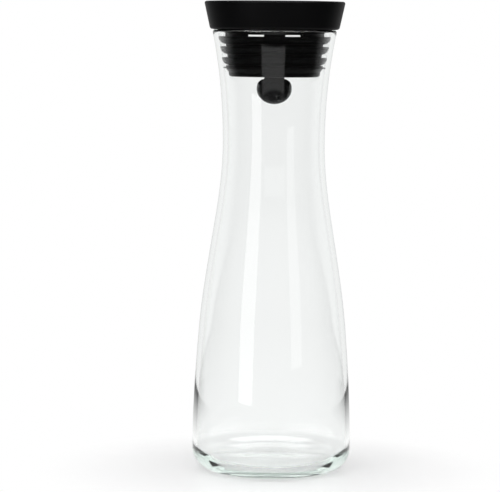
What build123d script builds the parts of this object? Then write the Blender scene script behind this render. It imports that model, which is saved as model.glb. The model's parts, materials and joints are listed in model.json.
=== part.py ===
from build123d import *
import math
import os

os.makedirs("parts", exist_ok=True)

# Sizes in millimetres. The origin is the centre of the base on the surface that the carafe stands on.
# +Z points up the axis of the glass, and the flap tilts about a pin along X.

# Glass: the outer wall follows smooth curves through five stations of height, radius and slope
BELLY_R = 49.0
BASE_CORNER_R = 13.5
FLANK_Z = 86.0
FLANK_R = 45.6
FLANK_SLOPE = -0.078
SHOULDER_Z = 140.0
SHOULDER_R = 38.45
SHOULDER_SLOPE = -0.161
WAIST_Z = 202.0
WAIST_R = 31.4
MOUTH_R = 38.4
MOUTH_SLOPE = 0.21
RIM_TOP_Z = 272.4
GLASS_WALL = 2.6
FLOOR_Z = 5.5
FLOOR_DOME = 1.5
UNDER_DOME = 1.2
FOOT_RING_W = 5.0
INNER_CORNER_R = 11.0

# Collar of the lid: a conical cover shell over a carrier ring, sealed to the glass by a flat gasket
SEAT_GAP = 0.2
GASKET_T = 1.3
GASKET_PROUD = 0.2
COLLAR_H = 17.2
COLLAR_OVERHANG = 1.3
COLLAR_FLARE = 3.8
COLLAR_WALL = 2.0
COLLAR_TOP_T = 2.2
COLLAR_TOP_EDGE_R = 1.2
COLLAR_LOWER_EDGE_R = 1.8
CARRIER_WALL = 2.3
CARRIER_FLANGE_T = 2.2

# Tilting flap and the ball-shaped mouth that it moves in
PIVOT_DEPTH = 9.0
FLAP_SINK = 1.0
FLAP_CROWN = 0.6
FLAP_DISC_T = 2.0
FLAP_BASE_T = 1.8
FLAP_LEDGE_T = 0.7
FLAP_LEDGE_W = 1.8
FLAP_GASKET_W = 3.8
FLAP_GASKET_PROUD = 0.1
MOUTH_GAP = 0.35

# Hinge pin, its bushes, and the pads of the carrier that hold them
PIN_R = 1.5
PIN_RUNNING_FIT = 0.05
BUSH_WALL = 0.7
BUSH_FLANGE_R = 3.0
BUSH_FLANGE_T = 0.8
PIN_CHAMFER = 0.3
PIN_END_GAP = 0.3
BOSS_R = 3.3
PAD_DEPTH = 5.4
PAD_HALF_W = 11.5
PAD_H = 4.7
PAD_PILOT_DEPTH = 3.9
KNUCKLE_R = 3.3
KNUCKLE_GAP = 1.4
KNUCKLE_W = 5.0

# Stopper under the collar: a core tube with vent slots, a finned sleeve round it and a retaining ring.
# Its drops are depths below the seat, where the gasket meets the rim of the glass.
STOPPER_DROP = 28.7
SLEEVE_LOW_GAP = 3.75
SLEEVE_TOP_GAP = 4.45
SLEEVE_T = 1.1
CORE_WALL = 1.5
CORE_FLANGE_GAP = 0.6
CORE_FLANGE_SKIRT = 1.7
SKIRT_OVERLAP = 0.15
CARRIER_LAND = 0.9
VENT_DROP = 4.1
VENT_H = 1.5
VENT_HALF_W = 16.5
RETAINER_H = 5.3
RETAINER_STEP = 1.8
RETAINER_WAIST_H = 2.7
RETAINER_FLOOR_T = 1.4
RETAINER_EDGE_R = 1.8
SLEEVE_CUFF_H = 1.4
LIP_T = 0.5
FIN_DROPS = (4.2, 10.3, 17.0)
FIN_TIP_T = 0.7
FIN_ROOT_H = 4.6
FIN_RISE = 0.25
FIN_GLASS_GAP = 0.35
FIN_BELLY_OUT = 0.72
FIN_BELLY_UP = 0.42

# Pendulum arm and the weight at its end
ARM_TOP_W = 13.6
ARM_BOTTOM_W = 12.4
ARM_T = 4.4
ARM_HEAD_W = 12.4
ARM_HEAD_H = 7.6
ARM_EDGE_R = 0.8
WEIGHT_DROP = 30.0
WEIGHT_R = 10.85
WEIGHT_SHOULDER_H = 6.1
WEIGHT_BOWL_H = 9.5
WEIGHT_NECK_R = 6.4
SHOULDER_RISE = 0.57
SHOULDER_TURN = 0.84
SHOULDER_DRAW_IN = 1.25
WEIGHT_WALL = 2.65
SLUG_FLOOR = 2.8
SLUG_H = 6.2
SLUG_EDGE_R = 3.5
TANG_W = 7.0
TANG_T = 2.4
TANG_GAP = 0.1

# Small self-tapping screws
SCREW_R = 1.0
SCREW_HEAD_R = 1.9
SCREW_HEAD_H = 1.2
SCREW_HEAD_EDGE_R = 0.4
SCREW_PILOT_GAP = 0.15
DRIVE_SIDES = 6
DRIVE_R = 0.8
DRIVE_DEPTH = 0.7
LID_SCREW_L = 5.5
LID_SCREW_INSET = 2.1
LID_SCREW_ANGLE = 17.0
FLAP_SCREW_L = 3.0
FLAP_SCREW_CIRCLE_R = 20.0
ARM_SCREW_L = 5.0
ARM_SCREW_Y = 4.2
WEIGHT_SCREW_L = 13.0
WEIGHT_SCREW_DROP = 3.7
WEIGHT_SCREW_SINK = 4.25

# Heights that follow from the sizes above
GASKET_Z = RIM_TOP_Z + SEAT_GAP
CARRIER_Z = GASKET_Z + GASKET_T
COLLAR_Z = GASKET_Z + GASKET_PROUD
COLLAR_TOP_Z = COLLAR_Z + COLLAR_H
PIVOT_Z = COLLAR_TOP_Z - PIVOT_DEPTH
FLAP_TOP_Z = COLLAR_TOP_Z - FLAP_SINK
FLAP_DISC_Z = FLAP_TOP_Z - FLAP_DISC_T
FLAP_BASE_Z = FLAP_DISC_Z - FLAP_BASE_T
VENT_Z = GASKET_Z - VENT_DROP
STOPPER_BOTTOM_Z = GASKET_Z - STOPPER_DROP
RETAINER_TOP_Z = STOPPER_BOTTOM_Z + RETAINER_H
WEIGHT_TOP_Z = GASKET_Z - WEIGHT_DROP
WEIGHT_WIDEST_Z = WEIGHT_TOP_Z - WEIGHT_SHOULDER_H
WEIGHT_BOTTOM_Z = WEIGHT_WIDEST_Z - WEIGHT_BOWL_H
SLUG_Z = WEIGHT_BOTTOM_Z + SLUG_FLOOR
WEIGHT_SCREW_Z = WEIGHT_TOP_Z - WEIGHT_SCREW_DROP

# Radii that follow from the sizes above
CORE_FLANGE_R = MOUTH_R - GLASS_WALL - CORE_FLANGE_GAP
MOUTH_BALL_R = CORE_FLANGE_R - CARRIER_LAND
FLAP_BALL_R = MOUTH_BALL_R - MOUTH_GAP
FLAP_R = math.sqrt(FLAP_BALL_R**2 - (FLAP_TOP_Z - PIVOT_Z) ** 2)
FLAP_HUB_R = FLAP_R - FLAP_GASKET_W
FLAP_LEDGE_R = FLAP_HUB_R + FLAP_LEDGE_W
COLLAR_BOTTOM_R = MOUTH_R + COLLAR_OVERHANG
COLLAR_TOP_R = COLLAR_BOTTOM_R + COLLAR_FLARE
CARRIER_OUTER_R = MOUTH_BALL_R + CARRIER_WALL
BUSH_R = PIN_R + PIN_RUNNING_FIT + BUSH_WALL
PAD_INNER_X = MOUTH_BALL_R - PAD_DEPTH
KNUCKLE_INNER_X = ARM_TOP_W / 2 + KNUCKLE_GAP
SLUG_R = WEIGHT_R - WEIGHT_WALL
WEIGHT_SCREW_HEAD_Y = WEIGHT_R - WEIGHT_SCREW_SINK

WALL_STATIONS = [
    (BASE_CORNER_R, BELLY_R, 0.0),
    (FLANK_Z, FLANK_R, FLANK_SLOPE),
    (SHOULDER_Z, SHOULDER_R, SHOULDER_SLOPE),
    (WAIST_Z, WAIST_R, 0.0),
    (RIM_TOP_Z, MOUTH_R, MOUTH_SLOPE),
]


def stations_around(z):
    """The two stations of the glass wall that a height lies between."""
    for low, high in zip(WALL_STATIONS, WALL_STATIONS[1:]):
        if z <= high[0]:
            return low, high
    return WALL_STATIONS[-2], WALL_STATIONS[-1]


def wall_radius(z):
    """Outer radius of the glass at a height."""
    (z0, r0, slope0), (z1, r1, slope1) = stations_around(z)
    t = (z - z0) / (z1 - z0)
    ends = r0 * (1 + 2 * t) * (1 - t) ** 2 + r1 * t**2 * (3 - 2 * t)
    return ends + (z1 - z0) * (slope0 * t * (1 - t) ** 2 - slope1 * t**2 * (1 - t))


def wall_slope(z):
    """Change of the glass wall's radius over its height."""
    (z0, r0, slope0), (z1, r1, slope1) = stations_around(z)
    t = (z - z0) / (z1 - z0)
    ends = (r1 - r0) * 6 * t * (1 - t) / (z1 - z0)
    return ends + slope0 * (1 - t) * (1 - 3 * t) + slope1 * t * (3 * t - 2)


def wall_curve(low, high, inset):
    """Edges that follow the glass wall between two heights, moved inwards by inset."""
    heights = [low] + [z for z, _, _ in WALL_STATIONS if low < z < high] + [high]
    edges = []
    for z0, z1 in zip(heights, heights[1:]):
        third = (z1 - z0) / 3
        start = (wall_radius(z0) - inset, z0)
        end = (wall_radius(z1) - inset, z1)
        leave = (start[0] + wall_slope(z0) * third, z0 + third)
        arrive = (end[0] - wall_slope(z1) * third, z1 - third)
        edges.append(Bezier(start, leave, arrive, end))
    return edges


def turned(edges):
    """Solid of a closed outline, given as radius and height, turned about the vertical axis."""
    return revolve(Plane.XZ * make_face(edges), Axis.Z)


def ring(points, radii=None):
    """Turned solid of a polygon, with a rounding radius for each corner."""
    if radii is None:
        return turned(Polyline(*points, close=True).edges())
    return turned(FilletPolyline(*points, radius=radii, close=True).edges())


def level_arch(edge_r, centre_z, edge_z):
    """Gentle rise or dip from a radius to the axis that is level at both ends."""
    half = edge_r / 2
    return Bezier((0, centre_z), (half, centre_z), (half, edge_z), (edge_r, edge_z))


def corner_arc(centre_r, centre_z, radius):
    """Quarter arc from straight below a centre to straight outside it."""
    reach = radius * math.sqrt(0.5)
    middle = (centre_r + reach, centre_z - reach)
    return ThreePointArc((centre_r, centre_z - radius), middle, (centre_r + radius, centre_z))


def collar_radius(z):
    """Outer radius of the collar's cone at a height."""
    return COLLAR_BOTTOM_R + (COLLAR_TOP_R - COLLAR_BOTTOM_R) * (z - COLLAR_Z) / COLLAR_H


def collar_inner_radius(z):
    """Inner radius of the collar shell's wall at a height."""
    lean = math.atan((COLLAR_TOP_R - COLLAR_BOTTOM_R) / COLLAR_H)
    return collar_radius(z) - COLLAR_WALL / math.cos(lean)


def ball_radius(ball_r, z):
    """Radius at a height of a ball that is centred on the hinge pin."""
    return math.sqrt(ball_r**2 - (z - PIVOT_Z) ** 2)


def ball_arc(ball_r, z0, z1):
    """Arc of a ball that is centred on the hinge pin, between two heights."""
    middle = (z0 + z1) / 2
    return ThreePointArc(*[(ball_radius(ball_r, z), z) for z in (z0, middle, z1)])


def sleeve_radius(z):
    """Outer radius of the sleeve between its fins, a straight taper down the neck."""
    low = glass_inner_radius(RETAINER_TOP_Z) - SLEEVE_LOW_GAP
    top = glass_inner_radius(VENT_Z) - SLEEVE_TOP_GAP
    return low + (top - low) * (z - RETAINER_TOP_Z) / (VENT_Z - RETAINER_TOP_Z)


def core_radius(z):
    """Outer radius of the core tube under the sleeve."""
    return sleeve_radius(z) - SLEEVE_T


def core_bore_radius(z):
    """Inner radius of the core tube."""
    return core_radius(z) - CORE_WALL


def glass_inner_radius(z):
    """Inner radius of the glass at a height."""
    return wall_radius(z) - GLASS_WALL


def x_rod(radius, x0, x1):
    """Round rod along X at the height of the hinge pin."""
    rod = extrude(Plane.YZ * Circle(radius), x1 - x0)
    return Pos(x0, 0, PIVOT_Z) * rod


def upright(radius, z0, z1, x=0.0, y=0.0):
    """Round rod along Z."""
    return Pos(x, y, z0) * extrude(Circle(radius), z1 - z0)


def block(x_size, y_size, z0, z1, x=0.0, y=0.0):
    """Rectangular block between two heights."""
    return Pos(x, y, z0) * extrude(Rectangle(x_size, y_size), z1 - z0)


def glass_body():
    """Blown glass with a thick floor, a shallow dome under it and a fire-polished rim."""
    lean = math.atan(MOUTH_SLOPE)
    lip_r = GLASS_WALL * math.cos(lean) / 2
    lip_z = RIM_TOP_Z - lip_r
    outer_end = lip_z - lip_r * math.sin(lean)
    inner_end = lip_z + lip_r * math.sin(lean)
    rim = ThreePointArc(
        (wall_radius(outer_end), outer_end),
        (wall_radius(lip_z) - GLASS_WALL / 2, RIM_TOP_Z),
        (glass_inner_radius(inner_end), inner_end),
    )
    foot_r = BELLY_R - BASE_CORNER_R
    inner_z = FLOOR_Z + INNER_CORNER_R
    inner_foot_r = glass_inner_radius(inner_z) - INNER_CORNER_R
    return turned([
        level_arch(foot_r - FOOT_RING_W, UNDER_DOME, 0),
        Line((foot_r - FOOT_RING_W, 0), (foot_r, 0)),
        corner_arc(foot_r, BASE_CORNER_R, BASE_CORNER_R),
        *wall_curve(BASE_CORNER_R, outer_end, 0),
        rim,
        *wall_curve(inner_z, inner_end, GLASS_WALL),
        corner_arc(inner_foot_r, inner_z, INNER_CORNER_R),
        level_arch(inner_foot_r, FLOOR_Z + FLOOR_DOME, FLOOR_Z),
        Line((0, UNDER_DOME), (0, FLOOR_Z + FLOOR_DOME)),
    ])


def mouth_space():
    """Room that the flap tilts in: a ball above the pin, and a straight bore below it."""
    top = COLLAR_TOP_Z + COLLAR_TOP_T
    return turned([
        ball_arc(MOUTH_BALL_R, PIVOT_Z, top),
        Line((MOUTH_BALL_R, PIVOT_Z), (MOUTH_BALL_R, STOPPER_BOTTOM_Z)),
        Line((MOUTH_BALL_R, STOPPER_BOTTOM_Z), (0, STOPPER_BOTTOM_Z)),
        Line((0, STOPPER_BOTTOM_Z), (0, top)),
        Line((0, top), (ball_radius(MOUTH_BALL_R, top), top)),
    ])


def collar_shell():
    """Conical cover that shows as the collar, with a top plate round the flap."""
    plate_z = COLLAR_TOP_Z - COLLAR_TOP_T
    within = FLAP_HUB_R
    shell = ring(
        [
            (within, COLLAR_TOP_Z),
            (COLLAR_TOP_R, COLLAR_TOP_Z),
            (COLLAR_BOTTOM_R, COLLAR_Z),
            (collar_inner_radius(COLLAR_Z), COLLAR_Z),
            (collar_inner_radius(plate_z), plate_z),
            (within, plate_z),
        ],
        [0, COLLAR_TOP_EDGE_R, COLLAR_LOWER_EDGE_R, 0, 0, 0],
    )
    return shell - mouth_space()


def lid_screw_places():
    """Places of the four screws that hold the core to the carrier's pads."""
    reach = MOUTH_BALL_R - LID_SCREW_INSET
    angles = [math.radians(side + turn * LID_SCREW_ANGLE) for side in (0, 180) for turn in (-1, 1)]
    return [(reach * math.cos(a), reach * math.sin(a)) for a in angles]


def bush_spans(side):
    """Where the flange and the barrel of the bush on one side lie along X, each from low to high."""
    step = PAD_INNER_X + BUSH_FLANGE_T
    flange = sorted([side * PAD_INNER_X, side * step])
    seat = sorted([side * step, side * CARRIER_OUTER_R])
    return flange, seat


def collar_carrier():
    """Ring inside the collar, with two pads and bosses that carry the hinge."""
    plate_z = COLLAR_TOP_Z - COLLAR_TOP_T
    web_low = CARRIER_Z + CARRIER_FLANGE_T
    web_high = plate_z - CARRIER_FLANGE_T
    within = FLAP_HUB_R
    carrier = ring([
        (within, CARRIER_Z),
        (collar_inner_radius(CARRIER_Z), CARRIER_Z),
        (collar_inner_radius(web_low), web_low),
        (CARRIER_OUTER_R, web_low),
        (CARRIER_OUTER_R, web_high),
        (collar_inner_radius(web_high), web_high),
        (collar_inner_radius(plate_z), plate_z),
        (within, plate_z),
    ])
    carrier -= mouth_space()
    inside = upright(MOUTH_BALL_R + CARRIER_WALL / 2, CARRIER_Z, PIVOT_Z + BOSS_R)
    for side in (-1, 1):
        flange, seat = bush_spans(side)
        depth = CARRIER_OUTER_R - PAD_INNER_X
        pad = block(depth, 2 * PAD_HALF_W, CARRIER_Z, CARRIER_Z + PAD_H, side * (PAD_INNER_X + depth / 2))
        pad += block(seat[1] - seat[0], 2 * BOSS_R, CARRIER_Z, PIVOT_Z, sum(seat) / 2)
        pad += x_rod(BOSS_R, *seat)
        pad -= x_rod(BUSH_FLANGE_R, *flange)
        carrier += pad & inside
    carrier -= x_rod(BUSH_R, -COLLAR_TOP_R, COLLAR_TOP_R)
    for x, y in lid_screw_places():
        carrier -= upright(SCREW_R - SCREW_PILOT_GAP, CARRIER_Z, CARRIER_Z + PAD_PILOT_DEPTH, x, y)
    return carrier


def rim_gasket():
    """Flat ring that seals the collar to the rim of the glass."""
    outer_r = collar_inner_radius(COLLAR_Z)
    return ring([
        (CORE_FLANGE_R, GASKET_Z),
        (outer_r, GASKET_Z),
        (outer_r, CARRIER_Z),
        (CORE_FLANGE_R, CARRIER_Z),
    ])


def stopper_core():
    """Tube that the drink runs through, with a flange at the top and a vent slot front and back."""
    neck_r = sleeve_radius(VENT_Z)
    skirt_z = VENT_Z + VENT_H - SKIRT_OVERLAP
    core_low = STOPPER_BOTTOM_Z + RETAINER_FLOOR_T
    core = ring([
        (core_bore_radius(core_low), core_low),
        (core_radius(core_low), core_low),
        (core_radius(VENT_Z), VENT_Z),
        (neck_r, VENT_Z),
        (neck_r, skirt_z),
        (CORE_FLANGE_R, CARRIER_Z - CORE_FLANGE_SKIRT),
        (CORE_FLANGE_R, CARRIER_Z),
        (core_bore_radius(CARRIER_Z), CARRIER_Z),
    ])
    core -= block(2 * VENT_HALF_W, 4 * CORE_FLANGE_R, VENT_Z, VENT_Z + VENT_H)
    for x, y in lid_screw_places():
        core -= upright(SCREW_R + SCREW_PILOT_GAP, VENT_Z, CARRIER_Z, x, y)
        core -= upright(SCREW_HEAD_R + SCREW_PILOT_GAP, VENT_Z, CARRIER_Z - CORE_FLANGE_SKIRT, x, y)
    return core


def fin(tip_z):
    """Sealing fin: a nearly level top, and an underside that sweeps in to the sleeve."""
    tip_r = glass_inner_radius(tip_z) - FIN_GLASS_GAP
    root_z = tip_z - FIN_ROOT_H
    under_z = tip_z - FIN_TIP_T
    root_r = sleeve_radius(root_z)
    top_z = tip_z - FIN_RISE
    sunk = SLEEVE_T / 2
    belly = (root_r + FIN_BELLY_OUT * (tip_r - root_r), root_z + FIN_BELLY_UP * (under_z - root_z))
    return turned([
        Line((core_radius(root_z) + sunk, root_z), (root_r, root_z)),
        ThreePointArc((root_r, root_z), belly, (tip_r, under_z)),
        Line((tip_r, under_z), (tip_r, tip_z)),
        Line((tip_r, tip_z), (sleeve_radius(top_z), top_z)),
        Line((sleeve_radius(top_z), top_z), (core_radius(top_z) + sunk, top_z)),
        Line((core_radius(top_z) + sunk, top_z), (core_radius(root_z) + sunk, root_z)),
    ])


def stopper_sleeve():
    """Soft sleeve round the core, with a cuff, a thin wiping lip and three sealing fins."""
    low = RETAINER_TOP_Z
    cuff = low + SLEEVE_CUFF_H
    cuff_r = sleeve_radius(low) + RETAINER_STEP
    lip_r = glass_inner_radius(low) - FIN_GLASS_GAP
    sleeve = ring([
        (core_radius(low), low),
        (lip_r, low),
        (lip_r, low + LIP_T),
        (cuff_r, low + LIP_T),
        (cuff_r, cuff),
        (sleeve_radius(cuff), cuff),
        (sleeve_radius(VENT_Z), VENT_Z),
        (core_radius(VENT_Z), VENT_Z),
    ])
    for drop in FIN_DROPS:
        sleeve += fin(GASKET_Z - drop)
    return sleeve


def core_retainer():
    """Ring snapped on the end of the core, which keeps the sleeve on it."""
    low = STOPPER_BOTTOM_Z
    core_low = low + RETAINER_FLOOR_T
    waist_z = low + RETAINER_WAIST_H
    waist_r = sleeve_radius(RETAINER_TOP_Z)
    return ring(
        [
            (core_bore_radius(core_low), low),
            (waist_r, low),
            (waist_r, waist_z),
            (waist_r + RETAINER_STEP, RETAINER_TOP_Z),
            (core_radius(RETAINER_TOP_Z), RETAINER_TOP_Z),
            (core_radius(core_low), core_low),
            (core_bore_radius(core_low), core_low),
        ],
        [0, RETAINER_EDGE_R, 0, 0, 0, 0, 0],
    )


def hinge_pin():
    """Steel pin across the mouth, which turns with the flap."""
    half = collar_inner_radius(PIVOT_Z - PIN_R) - PIN_END_GAP
    return chamfer(x_rod(PIN_R, -half, half).edges(), PIN_CHAMFER)


def hinge_bushes():
    """Two flanged bushes in the carrier's bosses."""
    bushes = []
    for side in (-1, 1):
        flange, seat = bush_spans(side)
        bush = x_rod(BUSH_R, *seat) + x_rod(BUSH_FLANGE_R, *flange)
        bushes.append(bush - x_rod(PIN_R + PIN_RUNNING_FIT, -COLLAR_TOP_R, COLLAR_TOP_R))
    return bushes


def flap_disc():
    """Slightly crowned cover of the flap, flush in the mouth of the collar."""
    crown = ThreePointArc(
        (-FLAP_R, FLAP_TOP_Z), (0, FLAP_TOP_Z + FLAP_CROWN), (FLAP_R, FLAP_TOP_Z)
    ).trim(0.5, 1)
    disc = turned([
        crown,
        ball_arc(FLAP_BALL_R, FLAP_DISC_Z, FLAP_TOP_Z),
        Line((ball_radius(FLAP_BALL_R, FLAP_DISC_Z), FLAP_DISC_Z), (0, FLAP_DISC_Z)),
        Line((0, FLAP_DISC_Z), (0, FLAP_TOP_Z + FLAP_CROWN)),
    ])
    for x, y in flap_screw_places():
        disc -= upright(SCREW_R - SCREW_PILOT_GAP, FLAP_DISC_Z, FLAP_BASE_Z + FLAP_SCREW_L, x, y)
    return disc


def flap_screw_places():
    """Places of the four screws that hold the flap's base to its cover."""
    reach = FLAP_SCREW_CIRCLE_R * math.sqrt(0.5)
    return [(x * reach, y * reach) for x in (-1, 1) for y in (-1, 1)]


def flap_gasket():
    """Soft ring on the edge of the flap, which closes the gap to the mouth."""
    low = FLAP_BASE_Z + FLAP_LEDGE_T
    ball_r = FLAP_BALL_R + FLAP_GASKET_PROUD
    return turned([
        Line((FLAP_HUB_R, low), (ball_radius(ball_r, low), low)),
        ball_arc(ball_r, low, FLAP_DISC_Z),
        Line((ball_radius(ball_r, FLAP_DISC_Z), FLAP_DISC_Z), (FLAP_HUB_R, FLAP_DISC_Z)),
        Line((FLAP_HUB_R, FLAP_DISC_Z), (FLAP_HUB_R, low)),
    ])


def arm_screw_places():
    """Places of the two screws that hold the arm to the flap's base."""
    return [(0, side * ARM_SCREW_Y) for side in (-1, 1)]


def flap_base():
    """Plate under the flap's cover, with the two knuckles that sit on the hinge pin."""
    ledge_z = FLAP_BASE_Z + FLAP_LEDGE_T
    base = ring([
        (0, FLAP_BASE_Z),
        (FLAP_LEDGE_R, FLAP_BASE_Z),
        (FLAP_LEDGE_R, ledge_z),
        (FLAP_HUB_R, ledge_z),
        (FLAP_HUB_R, FLAP_DISC_Z),
        (0, FLAP_DISC_Z),
    ])
    for side in (-1, 1):
        ends = sorted([side * KNUCKLE_INNER_X, side * (KNUCKLE_INNER_X + KNUCKLE_W)])
        base += x_rod(KNUCKLE_R, *ends)
        middle_x = side * (KNUCKLE_INNER_X + KNUCKLE_W / 2)
        base += block(KNUCKLE_W, 2 * KNUCKLE_R, PIVOT_Z, FLAP_BASE_Z, middle_x)
    base -= x_rod(PIN_R, -COLLAR_TOP_R, COLLAR_TOP_R)
    for x, y in flap_screw_places():
        base -= upright(SCREW_R + SCREW_PILOT_GAP, FLAP_BASE_Z, FLAP_DISC_Z, x, y)
    for x, y in arm_screw_places():
        base -= upright(SCREW_R + SCREW_PILOT_GAP, FLAP_BASE_Z, FLAP_DISC_Z, x, y)
        base -= upright(SCREW_HEAD_R + SCREW_PILOT_GAP, FLAP_DISC_Z - SCREW_HEAD_H, FLAP_DISC_Z, x, y)
    return base


def pendulum_arm():
    """Arm that hangs from the flap through the stopper and ends in a tang inside the weight."""
    head_z = FLAP_BASE_Z - ARM_HEAD_H
    head = block(ARM_TOP_W, ARM_HEAD_W, head_z, FLAP_BASE_Z)
    lower_edges = head.edges().group_by(Axis.Z)[0].filter_by(Axis.X)
    head = chamfer(lower_edges, (ARM_HEAD_W - ARM_T) / 2 - ARM_EDGE_R)
    strap_plan = Plane.XZ * make_face(Polyline(
        (-ARM_TOP_W / 2, head_z + ARM_HEAD_H / 2),
        (ARM_TOP_W / 2, head_z + ARM_HEAD_H / 2),
        (ARM_BOTTOM_W / 2, WEIGHT_TOP_Z),
        (-ARM_BOTTOM_W / 2, WEIGHT_TOP_Z),
        close=True,
    ).edges())
    strap = extrude(strap_plan, ARM_T / 2, both=True)
    strap = fillet(strap.edges().filter_by(lambda e: abs(e.tangent_at(0.5).Z) > 0.9), ARM_EDGE_R)
    tang = block(TANG_W, TANG_T, WEIGHT_WIDEST_Z, WEIGHT_TOP_Z)
    arm = head + strap + tang
    arm -= x_rod(PIN_R, -ARM_TOP_W, ARM_TOP_W)
    for x, y in arm_screw_places():
        low = FLAP_DISC_Z - SCREW_HEAD_H - ARM_SCREW_L
        arm -= upright(SCREW_R - SCREW_PILOT_GAP, low, FLAP_BASE_Z, x, y)
    return arm - weight_screw_hole(SCREW_R + SCREW_PILOT_GAP, -WEIGHT_R, WEIGHT_R)


def weight_screw_hole(radius, y0, y1):
    """Round hole along Y at the height of the weight's screw."""
    rod = extrude(Plane.XZ * Circle(radius), -(y1 - y0))
    return Pos(0, y0, WEIGHT_SCREW_Z) * rod


def weight_pebble():
    """Whole rounded outside of the weight, before it is split into shells."""
    shoulder = Bezier(
        (WEIGHT_R, WEIGHT_WIDEST_Z),
        (WEIGHT_R, WEIGHT_WIDEST_Z + SHOULDER_RISE * WEIGHT_SHOULDER_H),
        (WEIGHT_R - SHOULDER_DRAW_IN, WEIGHT_WIDEST_Z + SHOULDER_TURN * WEIGHT_SHOULDER_H),
        (WEIGHT_NECK_R, WEIGHT_TOP_Z),
    )
    bowl = EllipticalCenterArc(
        (0, WEIGHT_WIDEST_Z), WEIGHT_R, WEIGHT_BOWL_H, start_angle=-90, arc_size=90
    )
    return turned([
        bowl,
        shoulder,
        Line((WEIGHT_NECK_R, WEIGHT_TOP_Z), (0, WEIGHT_TOP_Z)),
        Line((0, WEIGHT_TOP_Z), (0, WEIGHT_BOTTOM_Z)),
    ])


def weight_slug():
    """Steel slug that gives the weight its mass."""
    top = SLUG_Z + SLUG_H
    return ring(
        [(0, SLUG_Z), (SLUG_R, SLUG_Z), (SLUG_R, top), (0, top)],
        [0, SLUG_EDGE_R, 0, 0],
    )


def weight_shell(side):
    """Front or rear half of the weight's casing, hollow for the slug and the tang."""
    half = block(4 * WEIGHT_R, 2 * WEIGHT_R, WEIGHT_BOTTOM_Z, WEIGHT_TOP_Z, 0, side * WEIGHT_R)
    shell = (weight_pebble() & half) - weight_slug()
    shell -= block(TANG_W + 2 * TANG_GAP, TANG_T + 2 * TANG_GAP, SLUG_Z + SLUG_H, WEIGHT_TOP_Z)
    if side > 0:
        shell -= weight_screw_hole(SCREW_R + SCREW_PILOT_GAP, 0, WEIGHT_R)
        return shell - weight_screw_hole(SCREW_HEAD_R + SCREW_PILOT_GAP, WEIGHT_SCREW_HEAD_Y, WEIGHT_R)
    return shell - weight_screw_hole(SCREW_R - SCREW_PILOT_GAP, WEIGHT_SCREW_HEAD_Y - WEIGHT_SCREW_L, 0)


def screw(length):
    """Screw with its head on the XY plane and its shank pointing down, with a six-sided drive."""
    body = upright(SCREW_R - SCREW_PILOT_GAP, -length, 0) + upright(SCREW_HEAD_R, 0, SCREW_HEAD_H)
    body = fillet(body.edges().group_by(Axis.Z)[-1], SCREW_HEAD_EDGE_R)
    drive = extrude(RegularPolygon(DRIVE_R, DRIVE_SIDES), DRIVE_DEPTH)
    return body - Pos(0, 0, SCREW_HEAD_H - DRIVE_DEPTH) * drive


def lid_screws():
    """Screws up through the core's flange into the carrier's pads."""
    head_z = CARRIER_Z - CORE_FLANGE_SKIRT
    return [Pos(x, y, head_z) * Rot(180, 0, 0) * screw(LID_SCREW_L) for x, y in lid_screw_places()]


def flap_screws():
    """Screws up through the flap's base into its cover."""
    return [Pos(x, y, FLAP_BASE_Z) * Rot(180, 0, 0) * screw(FLAP_SCREW_L) for x, y in flap_screw_places()]


def arm_screws():
    """Screws down through the flap's base into the arm, with their heads under the cover."""
    head_z = FLAP_DISC_Z - SCREW_HEAD_H
    return [Pos(x, y, head_z) * screw(ARM_SCREW_L) for x, y in arm_screw_places()]


def weight_screw():
    """Screw from the back through the rear shell and the tang into the front shell."""
    return Pos(0, WEIGHT_SCREW_HEAD_Y, WEIGHT_SCREW_Z) * Rot(-90, 0, 0) * screw(WEIGHT_SCREW_L)


def write(name, *solids):
    """Write one node, which is a single solid or a group of equal ones."""
    shape = solids[0] if len(solids) == 1 else Compound(children=list(solids))
    export_step(shape, f"parts/{name}.step")


write("glass_body", glass_body())
write("collar_shell", collar_shell())
write("collar_carrier", collar_carrier())
write("rim_gasket", rim_gasket())
write("stopper_core", stopper_core())
write("stopper_sleeve", stopper_sleeve())
write("core_retainer", core_retainer())
write("lid_screws", *lid_screws())
write("hinge_bushes", *hinge_bushes())
write("hinge_pin", hinge_pin())
write("flap_disc", flap_disc())
write("flap_gasket", flap_gasket())
write("flap_base", flap_base())
write("flap_screws", *flap_screws())
write("pendulum_arm", pendulum_arm())
write("arm_screws", *arm_screws())
write("weight_shell_front", weight_shell(-1))
write("weight_shell_rear", weight_shell(1))
write("weight_slug", weight_slug())
write("weight_screw", weight_screw())
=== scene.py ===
import json
import math

import bmesh
import bpy
from bpy.props import FloatProperty, FloatVectorProperty, IntProperty, PointerProperty
from mathutils import Matrix, Vector


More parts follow.
